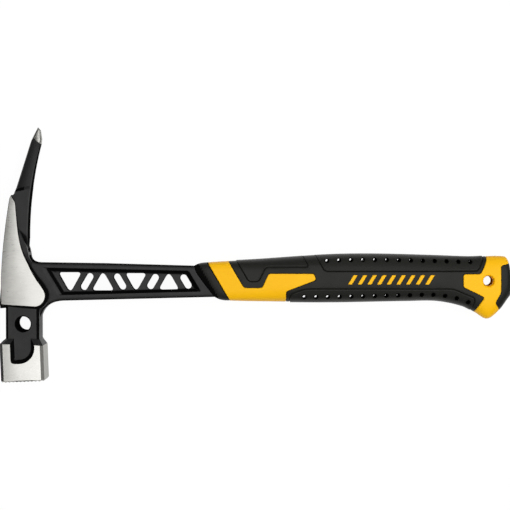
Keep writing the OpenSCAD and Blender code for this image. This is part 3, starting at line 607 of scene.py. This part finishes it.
def pick():
    point_y = PICK_RISE - PICK_POINT_H
    corner, start, count = (PICK_LEAN + 1.9, PICK_RISE - 10.6), 28, 16
    left = CHEEK_LEAN - CHEEK_FRONT + 0.7
    front, high = (left + 1.6, CHEEK_RISE + 0.8), (PICK_LEAN - 4.4, point_y)
    rear = [(between(PICK_BACK, corner[0], u ** PICK_CURVE), between(start, corner[1], u))
            for u in (i / count for i in range(count + 1))]
    outline = [(left, 0), (PICK_BACK, 0)] + rear + [
        (PICK_LEAN + 2.3, PICK_RISE - 7.5), (PICK_LEAN + 1.6, PICK_RISE - 1.9), (PICK_LEAN, PICK_RISE),
        high, front, (left, CHEEK_RISE - 0.3)]
    # The bevel round the face is widest down the rear edge
    bevel = [0.3, 0.9] + [between(0.65, 0.6, i / count) for i in range(count)]
    bevel += [0.9, 0.9, 0.5, 1.1, 0.9, 0.5, 0.3]
    top = PICK_ROOT_T / 2
    bm = loft([[(x, y, z) for x, y in offset(outline, [b * share for b in bevel])]
               for share, z in ((0, 0), (0, top - 1.9), (0.08, top - 1.5), (0.88, top - 0.15), (1, top))])
    cut_lines(bm, 1, steps(19, 36, 0.5) + steps(PICK_LEDGE - 1.6, PICK_LEDGE + 3.4, 0.4)
              + steps(PICK_LEDGE + 3.4, point_y, 2.5) + [point_y] + steps(point_y, PICK_RISE, 1.5))
    cut_lines(bm, 0, steps(left, PICK_LEAN + 2.3, 0.6))

    def sunk(x, y):
        """Nothing below a slanting ledge, all above it."""
        return min(1, max(0, (y - PICK_LEDGE + 0.9 - 0.19 * (x + 4.6)) / 2))

    for vert in bm.verts:
        x, y = vert.co.x, vert.co.y
        # Beside the ridge at its root the face falls away into a pocket
        past = 0.64 * (-1.8 - x) + 0.77 * (32.9 - y)
        vert.co.z *= 1 - min(4, 0.95 * max(0, past)) / top
        # Above the ledge the face is sunk, rolls off to the front and thins to the point
        sink = sunk(x, y)
        if sink == 0:
            continue
        up = min(1, max(0, (y - PICK_LEDGE) / (point_y - PICK_LEDGE)))
        edge = between(front[0], high[0], (y - front[1]) / (high[1] - front[1]))
        rise = min(1, max(0, y - start) / (corner[1] - start))
        width = between(PICK_BACK, corner[0], rise ** PICK_CURVE) - edge
        roll = 1 - min(1, max(0, (x - edge) / width))
        half = between(top - 0.6, PICK_NECK_T / 2, up) - between(2.2, 1.2, up) * roll ** 3
        if y > point_y:
            half = between(half, PICK_TIP_T / 2, (y - point_y) / PICK_POINT_H)
        vert.co.z *= between(1, half / top, sink)
    line, across = Vector((8.4, 91.4, 0)), Vector((0.86, 1, 0))
    bmesh.ops.bisect_plane(bm, geom=everything(bm), dist=1e-5, plane_co=line, plane_no=across)
    bm.normal_update()
    # The tip is ground; the walls and the slope below the ledge get painted shade, the darker, sheenless
    # paint
    for face in bm.faces:
        middle = face.calc_center_median()
        in_painted_shade = face.normal.z < 0.3 or (middle.x < 1 and 0 < sunk(middle.x, middle.y) < 1)
        face.material_index = GROUND if (middle - line).dot(across) > 0 else PAINTED_SHADE if in_painted_shade else PAINT
    mirror_below(bm)
    return bm


def gusset():
    """The ridge that ties the pick's root to the shaft beside the cheek."""
    outline = [(-5, 35), (-2.7, 33.8), (-0.9, 31), (0.4, 27.2), (1.6, 24.4), (2.8, 21.8), (3.4, 18.6),
               (4, 15.6), (5.6, 13.2), (6.4, 9), (-2, 9), (-5, 16), (-8, 25), (-9.4, 33)]
    bm = slab(outline, [(0, 0), (0, 8.6), (0.1, 9), (0.3, 9.3)], ease=1.0)
    cut_lines(bm, 1, steps(9, 38, 2))
    for vert in bm.verts:
        share = min(1, max(0, (vert.co.y - 10) / 8))
        tail = min(1, max(0, (34.5 - vert.co.y) / 6))
        vert.co.z *= between(0.74, 1, share) * between(0.85, 1, tail)
    mirror_below(bm)
    return bm


def neck():
    top = NECK_T / 2
    bm = slab([(NECK_LEFT, BLOCK_TOP - 4), (NECK_RIGHT, BLOCK_TOP - 4), (NECK_RIGHT, -3), (NECK_LEFT, -3)],
              [(0, 0), (NECK_DRAFT, top - NECK_CHAMFER - 0.25), (NECK_DRAFT + 0.15, top - NECK_CHAMFER),
               (NECK_DRAFT + NECK_CHAMFER, top - 0.15), (NECK_DRAFT + NECK_CHAMFER + 0.4, top)])
    # The chamfers get painted shade, the darker, sheenless paint
    for face in bm.faces:
        if 0.2 < face.normal.z < 0.95:
            face.material_index = PAINTED_SHADE
    mirror_below(bm)
    return bm


def chamfered_ring(left, right, thick, chamfer, y):
    h = thick / 2
    low, high = chamfer - h, h - chamfer
    return [(left + chamfer, y, -h), (right - chamfer, y, -h), (right, y, low), (right, y, high),
            (right - chamfer, y, h), (left + chamfer, y, h), (left, y, high), (left, y, low)]


def on_block(bm):
    """From the axes of the striking face to the drawing axes."""
    turn = Matrix.Rotation(math.radians(FACE_TILT), 4, "Z")
    bm.transform(Matrix.Translation((BLOCK_X, BLOCK_TOP, 0)) @ turn @ Matrix.Translation((0, -BLOCK_H, 0)))
    return bm


def block():
    body, half = BLOCK_H - SHOULDER_H, BLOCK_W / 2
    bm = cutter([
        chamfered_ring(FACE_BEVEL - half, half - FACE_BEVEL, BLOCK_W - 2 * FACE_BEVEL, BLOCK_CHAMFER, 0),
        chamfered_ring(-half, half, BLOCK_W, BLOCK_CHAMFER, FACE_BEVEL_H),
        chamfered_ring(-half, half, BLOCK_W, BLOCK_CHAMFER, body - 0.25),
        chamfered_ring(0.15 - half, half - 0.15, BLOCK_W - 0.3, BLOCK_CHAMFER, body),
        chamfered_ring(NECK_LEFT + NECK_DRAFT - BLOCK_X, NECK_RIGHT - NECK_DRAFT - BLOCK_X, NECK_T,
                       BLOCK_CHAMFER, BLOCK_H),
    ])
    cut_lines(bm, 0, steps(-half, half, 2))
    for face in bm.faces:
        ground = face.calc_center_median().y < body
        face.material_index = GROUND if ground else PAINT
    # The ground sides are slightly crowned, and the shoulders fall towards the rear
    level, fall = (math.tan(math.radians(a)) for a in (FACE_TILT, FACE_TILT + SHOULDER_TILT))
    for vert in bm.verts:
        x, y, z = vert.co
        if FACE_BEVEL_H / 2 < y < body and abs(z) > half - 0.5 * BLOCK_CHAMFER:
            vert.co.z -= math.copysign((0.3 if x > 0 else 0.48) * (x / half) ** 2, z)
        if y > body - 0.5:
            vert.co.y -= x * (level if y > BLOCK_H - 0.1 else fall)
    return on_block(bm)


def tooth_cutter():
    """What the mill takes away from the striking face, leaving rows of pointed teeth that end at
    its bevel."""
    count, pitch = TOOTH_COUNT + 2, (BLOCK_W - 2 * FACE_BEVEL) / (TOOTH_COUNT - 1)
    bm = bmesh.new()
    bmesh.ops.create_grid(bm, x_segments=2 * count, y_segments=2 * count, size=count * pitch / 2)
    bmesh.ops.rotate(bm, verts=bm.verts, cent=(0, 0, 0), matrix=Matrix.Rotation(math.pi / 2, 3, "X"))
    for vert in bm.verts:
        column, row = (round((c + count * pitch / 2) / pitch * 2) for c in vert.co.xz)
        vert.co.y = 0.05 if column % 2 and row % 2 else TOOTH_DEPTH
    bmesh.ops.triangulate(bm, faces=bm.faces)
    skin = bm.faces[:]
    extruded = bmesh.ops.extrude_face_region(bm, geom=skin, use_keep_orig=True)
    for item in extruded["geom"]:
        if isinstance(item, bmesh.types.BMVert):
            item.co.y = -2
    for face in bm.faces:
        face.material_index = GROUND
    bmesh.ops.recalc_face_normals(bm, faces=bm.faces)
    return on_block(bm)


def scallop_cutter():
    """The hollow in the block's side, level with the neck, with sloping walls."""
    low = BLOCK_H - SHOULDER_H - SCALLOP_H
    half, large = SCALLOP_W / 2, SCALLOP_BACK_R
    outline = [(half, BLOCK_H + 6), (-half, BLOCK_H + 6), (-half, low)]
    outline += [(half - large + large * math.sin(a), low + large - large * math.cos(a))
                for a in (math.radians(6 * k) for k in range(16))]
    floor, face = NECK_T / 2 - 0.05, BLOCK_W / 2
    rings = []
    for by, z in ((3, floor), (2.5, floor + 0.15), (2, floor + 0.6), (0.1, face - 0.25),
                  (-0.15, face + 0.4)):
        corner = [0, 0, max(0.5, SCALLOP_FRONT_R - by / 2)] + [0] * (len(outline) - 3)
        rings.append([(x - BLOCK_X - 0.15, y, z) for x, y in eased(inset(outline, by), corner)])
    return on_block(give_walls_painted_shade(cutter(rings)))


def neck_hole_cutter():
    r, top = NECK_HOLE_D / 2, NECK_T / 2
    ring = [(math.cos(a), math.sin(a)) for a in (2 * math.pi * k / 64 for k in range(64))]
    bm = loft([[(x * (r + by) + 0.3, y * (r + by) - NECK_HOLE_DROP, z) for x, y in ring]
               for by, z in ((0, 0), (0, top - 1), (0.3, top - 0.5), (0.7, top + 0.02), (1.2, top + 0.4))])
    mirror_below(bm)
    return give_walls_painted_shade(bm)


# The cutters' steep walls leave painted shade: darker, sheenless paint on the walls of the recesses,
# windows, hollow and hole
panel, scallop = panel_cutter(), scallop_cutter()
forging = combine(
    shaft(), [tang(), neck(), pick(), gusset(), cheek(), block()],
    [panel, upside_down(panel), *window_cutters(), scallop, upside_down(scallop), tooth_cutter(),
     neck_hole_cutter()])
bmesh.ops.remove_doubles(forging, verts=forging.verts, dist=1e-4)
forging = place_piece(forging, "forging", "steel_forging", steel_finishes, sharp=32)
forging.modifiers.new("even_shading", "WEIGHTED_NORMAL").keep_sharp = True


# The grip's form: every skin is drawn flat, x along the grip and v round half of it, then bent

QUARTER = 22


def smooth(points, x):
    """A smooth line through points listed by rising x, read at x."""
    i = 0
    while i < len(points) - 2 and x >= points[i + 1][0]:
        i += 1

    def slope(k):
        a, b = points[max(k - 1, 0)], points[min(k + 1, len(points) - 1)]
        return (b[1] - a[1]) / (b[0] - a[0])

    (ax, ay), (bx, by) = points[i], points[i + 1]
    w = bx - ax
    t = (x - ax) / w
    u = 1 - t
    return ((1 + 2 * t) * u * u * ay + t * u * u * w * slope(i)
            + t * t * (3 - 2 * t) * by - t * t * u * w * slope(i + 1))


def section(x, lift):
    """The grip's middle, half height, half thickness and squareness at x."""
    top, bottom = smooth(GRIP_TOP, x) + lift, smooth(GRIP_BOTTOM, x) - lift
    half_t = smooth(GRIP_THICKNESS, x) / 2 + lift
    return (top + bottom) / 2, (top - bottom) / 2, half_t, smooth(GRIP_POWER, x)


def bent(x, v, lift):
    middle, half, half_t, power = section(x, lift)
    a = math.radians(90 * v / QUARTER)
    s, c = math.sin(a), max(0, math.cos(a))
    if abs(v) > QUARTER - 1e-6:
        s, c = math.copysign(1, v), 0
    r = (abs(s) ** power + c ** power) ** (-1 / power)
    return x, middle + half * r * s, half_t * r * c


def unrolled(x, y, lift):
    middle, half, _, power = section(x, lift)
    t = max(-1, min(1, (y - middle) / half))
    c = (1 - abs(t) ** power) ** (1 / power)
    return x, math.degrees(math.atan2(t, c)) / 90 * QUARTER


def leaning(x, y):
    return x - y * LEAN, y


def inside(x, y):
    middle, half, _, _ = section(x, 0)
    return x <= GRIP_END and abs(y - middle) <= half


def on_grip(points, size=0.7):
    """An open line cut off where it leaves the grip's side view, with points close together."""
    fine = []
    for a, b in zip(points, points[1:]):
        count = max(1, math.ceil(math.dist(a, b) / size))
        fine += [(between(a[0], b[0], i / count), between(a[1], b[1], i / count)) for i in range(count)]
    fine.append(points[-1])
    kept = [i for i, p in enumerate(fine) if inside(*p)]
    first, last = kept[0], kept[-1]
    line = fine[first:last + 1]
    for end, out in ((0, first - 1), (-1, last + 1)):
        if 0 <= out < len(fine):
            a, b = line[end], fine[out]
            for _ in range(30):
                m = (between(a[0], b[0], 0.5), between(a[1], b[1], 0.5))
                a, b = (m, b) if inside(*m) else (a, m)
            middle, half, _, _ = section(a[0], 0)
            edge = (a[0], middle + math.copysign(half, a[1] - middle))
            if end == 0:
                line.insert(0, edge)
            else:
                line.append(edge)
    return line


# Seams between the grip's pieces, each from the top edge down unless it says otherwise
front_line = on_grip([leaning(COLLAR_FRONT, FAR_Y), leaning(COLLAR_FRONT, -FAR_Y)])
band_front = on_grip([leaning(BAND_X, FAR_Y), leaning(BAND_X, -FAR_Y)])
trough_x = leaning(FLAME_X, -3.7)[0]
band_rear = on_grip(eased([
    leaning(FLAME_X, FAR_Y), (trough_x, -3.7), (TONGUE_X - 4.2, -3.7), (TONGUE_X, 5.4),
    (FLAME_END - 1.2, 5.4), (FLAME_END, 1.4), (FLAME_FOOT, -5.8), (FLAME_FOOT, -FAR_Y)],
    1.6, closed=False))
thumb_edge = on_grip(eased([
    leaning(THUMB_X, FAR_Y), leaning(THUMB_X, 0.3), (THUMB_X + 6.4, 0.3), (THUMB_X + 11, 9.4),
    (THUMB_END, 9.4), leaning(THUMB_END + 9.4 * LEAN, FAR_Y)], 2.2, closed=False))
upper_edge = on_grip(eased([
    leaning(UPPER_X, FAR_Y), leaning(UPPER_X, 6.8), (REAR_WAIST - 1.8, 6.8), (REAR_WAIST + 0.2, 10.2),
    (REAR_EDGE - 2.2, 14.4), (REAR_EDGE - 2, FAR_Y)], 2.4, closed=False))
lower_edge = on_grip(eased([
    (FLAME_FOOT + 2.4, -FAR_Y), (FLAME_FOOT + 2.4, -7.6), (FLAME_FOOT + 12, -4.1),
    (277.5, -4.2), (291.9, -10.2), (290.9, -14.4), (281.4, -FAR_Y)], 3, closed=False))
rear_front = on_grip(eased([
    (REAR_NOTCH - 15, -FAR_Y), (REAR_NOTCH, -10), (REAR_WAIST - 0.8, -8.1), (REAR_TONGUE, -3.2),
    (REAR_TONGUE, 5), (REAR_WAIST, 5), (between(REAR_EDGE, REAR_WAIST, 0.42), 9.4), (REAR_EDGE, 14),
    (REAR_EDGE, FAR_Y)], 1.4, closed=False))
butt_edge = on_grip(eased([
    (GRIP_END, 12), (BUTT_INNER, 10.4), (BUTT_INNER, -6.8), (BUTT_HEEL, -13.5), (BUTT_INNER + 2.5, -22),
    (GRIP_END + 6, -22)], 1.6, closed=False))


def skin(outline, lift, rim, holes=(), hole_rim=None, shape=None, grid=1.0):
    """A closed piece of the grip: a skin bent to the form, with a rounded rim, whose walls go
    straight through the thickness. rim lists (distance from the edge, drop) from the edge in."""
    bm = bmesh.new()
    flat = anticlockwise([unrolled(x, y, lift - rim[0][1]) for x, y in outline])
    flat = [p for p, q in zip(flat, flat[1:] + flat[:1]) if math.dist(p, q) > 0.02]
    on_edge = [abs(v) > QUARTER - 1e-4 for _, v in flat]
    open_side = [a and b for a, b in zip(on_edge, on_edge[1:] + on_edge[:1])]
    rims = [[(offset(flat, [0 if o else by for o in open_side]), drop) for by, drop in rim]]
    rims += [[([unrolled(x, y, lift - drop) for x, y in inset(hole, -by)], drop)
              for by, drop in hole_rim] for hole in holes]
    inner = []
    for rings in rims:
        below = None
        for ring, drop in rings:
            verts = [bm.verts.new((x, v, -drop)) for x, v in ring]
            edges = [bm.edges.new(pair) for pair in zip(verts, verts[1:] + verts[:1])]
            if below:
                bmesh.ops.bridge_loops(bm, edges=below + edges)
            below = edges
        inner += below
    bmesh.ops.triangle_fill(bm, use_beauty=True, use_dissolve=False, edges=inner, normal=(0, 0, 1))
    xs = [v.co.x for v in bm.verts]
    cut_lines(bm, 0, steps(min(xs), max(xs), grid))
    cut_lines(bm, 1, steps(-QUARTER, QUARTER, grid))
    for vert in bm.verts:
        x, v, drop = vert.co
        if shape:
            drop += shape(x, v)
        vert.co = bent(x, v, lift + drop)
        if vert.co.z < 1e-4:
            vert.co.z = 0
    rim_edges = [e for e in bm.edges if e.is_boundary and any(v.co.z > 0 for v in e.verts)]
    walls = bmesh.ops.extrude_edge_only(bm, edges=rim_edges)
    for item in walls["geom"]:
        if isinstance(item, bmesh.types.BMVert):
            item.co.z = 0
    bmesh.ops.remove_doubles(bm, verts=bm.verts, dist=1e-4)
    mirror_below(bm)
    return bm


def circle(x, y, r, count=24):
    return [(x + r * math.cos(a), y + r * math.sin(a))
            for a in (2 * math.pi * (k + 0.3) / count for k in range(count))]


def backwards(line):
    return list(reversed(line))


# Rims as (distance from the edge, drop): neighbours meet at the foot of a seam
EDGE = [(0, SEAM_DEPTH), (0.08, 0.25), (0.25, 0.06), (0.5, 0)]
PAD_RIM = [(0, PAD_RAISE + SEAM_DEPTH), (0.1, 0.6), (0.3, 0.1), (0.55, -0.08), (0.9, -0.06), (1.4, 0)]
COLLAR_RIM = [(0, SEAM_DEPTH), (0.45, 0.5), (0.6, 0.15), (0.9, 0)]
SLEEVE_RIM = [(0, SEAM_DEPTH), (0.1, 0.3), (0.3, 0.08), (0.6, 0)]
VENT_RIM = [(0, 0.8), (0.12, 0.5), (0.35, 0.15), (0.6, 0)]


def vents(first, last, count, edge, insets):
    """Places of a row of small holes along an edge, at a distance from it that changes evenly."""
    places = []
    for share in (i / (count - 1) for i in range(count)):
        x = between(first, last, share)
        y = smooth(edge, x)
        places.append((x, y - math.copysign(between(*insets, share), y)))
    return places


def sleeve_rise(x, v):
    """Between the thumb rest and the upper pad the sleeve comes up level with both."""
    y = bent(x, v, 0)[1]
    gap = THUMB_END + 9 * LEAN < x + y * LEAN < UPPER_X + 0.5
    return PAD_RAISE * min(1, max(0, (y - 8) / 3)) if gap else 0


def second_finish(bm, places, reach):
    """Gives the walls of holes at these places the piece's second material."""
    for face in bm.faces:
        middle = face.calc_center_median().xy
        if any(math.dist(middle, place) < reach for place in places):
            face.material_index = 1


def behind_front(x, y):
    """How far a point is behind the collar's front, square to it."""
    return (x + y * LEAN - COLLAR_FRONT) * math.cos(math.atan(LEAN))


def collar_step(x, v):
    """The collar's slope down to the shaft."""
    y = bent(x, v, 0)[1]
    return -COLLAR_STEP * max(0, 1 - behind_front(x, y) / COLLAR_SLOPE) ** 2


collar = skin(front_line + backwards(band_front), 0, COLLAR_RIM, shape=collar_step)
rear_seam = behind_front(BAND_X, 0) - COLLAR_RIM[1][0]
# Painted shade: the slope down to the shaft and the rear seam get the darker rubber with no sheen
for face in collar.faces:
    x, y, _ = face.calc_center_median()
    if not 0.6 * COLLAR_SLOPE < behind_front(x, y) < rear_seam:
        face.material_index = 1
place_piece(collar, "collar", "front_collar", [rubber, rubber_with_painted_shade])

band = skin(band_front + backwards(band_rear), 0, EDGE)
place_piece(band, "yellow_band", "grip_core", [yellow])

BAR_X, BAR_Y, BAR_COUNT, BAR_PITCH, BAR_W, BAR_H = 237.4, 1.6, 9, 6.2, 2.6, 6
bars = []
for i in range(BAR_COUNT):
    x = BAR_X + (i - (BAR_COUNT - 1) / 2) * BAR_PITCH
    shift = BAR_H / 2 * LEAN
    left, right = x - BAR_W / 2, x + BAR_W / 2
    low, high = BAR_Y - BAR_H / 2, BAR_Y + BAR_H / 2
    bars.append(eased([(left + shift, high), (left - shift, low), (right - shift, low),
                       (right + shift, high)], 0.5))
sleeve = skin(band_rear + lower_edge + rear_front + backwards(upper_edge) + backwards(thumb_edge), 0,
              SLEEVE_RIM, holes=bars, hole_rim=[(0, 0.3), (0.1, 0)], shape=sleeve_rise)
place_piece(sleeve, "sleeve", "grip_sleeve", [rubber])
for i, bar in enumerate(bars):
    shape = skin(bar, 0, [(0, 0.3), (0.05, 0.1), (0.15, 0.0)], grid=1.5)
    place_piece(shape, f"yellow_bar_{i + 1}", "grip_core", [yellow])

thumb = skin(thumb_edge, PAD_RAISE, PAD_RIM)
place_piece(thumb, "thumb_rest", "thumb_pad", [rubber])

# Each row of holes: first and last x, count, edge and distance from it, and widths at both ends
UPPER_VENTS, UPPER_VENT_WIDTHS = (196.1, 288.6, 13, GRIP_TOP, (3.5, 3.1)), (1.9, 1.7)
LOWER_VENTS, LOWER_VENT_WIDTHS = (181.5, 287.3, 15, GRIP_BOTTOM, (3.5, 3.9)), (2.05, 1.7)
for line, name, node, row, widths in (
        (upper_edge, "upper_pad", "upper_grip_pad", UPPER_VENTS, UPPER_VENT_WIDTHS),
        (lower_edge, "lower_pad", "lower_grip_pad", LOWER_VENTS, LOWER_VENT_WIDTHS)):
    places = vents(*row)
    holes = [circle(x, y, between(*widths, i / (len(places) - 1)) / 2)
             for i, (x, y) in enumerate(places)]
    pad = skin(line, PAD_RAISE, PAD_RIM, holes=holes, hole_rim=VENT_RIM)
    # Painted shade: the vents' walls and rims get the darker rubber with no sheen
    second_finish(pad, places, max(widths) / 2 + VENT_RIM[-1][0])
    place_piece(pad, name, node, [rubber, rubber_with_painted_shade])

HANG_RIM = [(0, 4), (0.2, 2.4), (0.5, 0.9), (1, 0.25), (1.6, 0)]
hang_hole = circle(HANG_HOLE_X, HANG_HOLE_Y, HANG_HOLE_D / 2, 40)
rear = skin(rear_front + butt_edge, 0, EDGE, holes=[hang_hole], hole_rim=HANG_RIM)
# Painted shade: the hang hole's wall gets the brown plastic
second_finish(rear, [(HANG_HOLE_X, HANG_HOLE_Y)], HANG_HOLE_D / 2 + 0.02)
place_piece(rear, "yellow_end", "grip_core", [yellow, yellow_with_painted_shade])

end_line = on_grip([(GRIP_END, FAR_Y), (GRIP_END, -FAR_Y)])
butt = skin(butt_edge + backwards(end_line), 0, EDGE)
place_piece(butt, "butt", "butt_pad", [rubber])


# Floor, light and camera

def sheet(name, size, colour, glow, place, turn=Matrix()):
    bm = bmesh.new()
    bmesh.ops.create_grid(bm, x_segments=1, y_segments=1, size=1)
    bm.transform(Matrix.Translation(place) @ turn @ Matrix.Diagonal((size[0] / 2, size[1] / 2, 1, 1)))
    paper, _, shader, _ = new_material(name + "_paper", Base_Color=linear(colour), Roughness=0.9)
    shader.inputs["Emission Color"].default_value = linear("#ffffff")
    shader.inputs["Emission Strength"].default_value = glow
    stands = link_mesh(bm, name, [paper])
    return stands


def softbox(name, place, aim, size, radiance):
    lamp = bpy.data.lights.new(name, "AREA")
    lamp.shape, lamp.size, lamp.size_y = "RECTANGLE", *size
    lamp.energy = radiance * math.pi * size[0] * size[1]
    light = bpy.data.objects.new(name, lamp)
    light.location = place
    light.rotation_euler = (Vector(aim) - Vector(place)).to_track_quat("-Z", "Y").to_euler()
    light.visible_camera = False
    bpy.context.scene.collection.objects.link(light)
    return light


# White paper, lit from below so that it keeps almost no shadow
sheet("floor", (8, 8), "#404040", 0.95, (0, 0, -0.0005))
# Low black cards stand round the set, out of sight, and keep the edges of the steel dark. A softbox
# above and behind each shows only in the sheen, and keeps the steel bright from the sides
CARD_W, CARD_AWAY = 0.8, 0.26
SIDE_PLACE, SIDE_SIZE = Vector((0, 2.4, 1.4)), (3.6, 1.7)
CARD_HEIGHTS, SIDE_RADIANCES = (0.08, 0.08, 0.12, 0.1), (0.65, 0.75, 0.65, 0.45)
for i, (height, radiance) in enumerate(zip(CARD_HEIGHTS, SIDE_RADIANCES)):
    turn = Matrix.Rotation(math.pi / 2 * i, 4, "Z")
    card = sheet(f"black_card_{i + 1}", (CARD_W, height), "#050505", 0,
                 turn @ Vector((0, CARD_AWAY, height / 2)),
                 turn @ Matrix.Rotation(math.pi / 2, 4, "X"))
    card.visible_camera = False
    box = softbox(f"side_softbox_{i + 1}", turn @ SIDE_PLACE, (0, 0, 0), SIDE_SIZE, radiance)
    box.visible_diffuse = False
softbox("overhead_softbox", (0.57, 0.08, 1.6), (0.57, 0.08, 0), (2.26, 2.1), 2.8)

world = bpy.data.worlds.new("dim_studio")
world.use_nodes = True
world.node_tree.nodes["Background"].inputs["Color"].default_value = linear("#404040")
world.node_tree.nodes["Background"].inputs["Strength"].default_value = 1.0
scene = bpy.context.scene
scene.world = world
scene.view_settings.view_transform = "Standard"

camera = bpy.data.objects.new("camera", bpy.data.cameras.new("camera"))
CAMERA_PLACE, CAMERA_AIM = (0.0037, 0.0252, 1.164), (-0.0009, -0.0008, 0.014)
camera.location = CAMERA_PLACE
back = (camera.location - Vector(CAMERA_AIM)).normalized()
right = Vector((0, 1, 0)).cross(back).normalized()
camera.rotation_euler = Matrix((right, back.cross(right), back)).transposed().to_euler()
camera.data.lens = 125
scene.collection.objects.link(camera)
scene.camera = camera
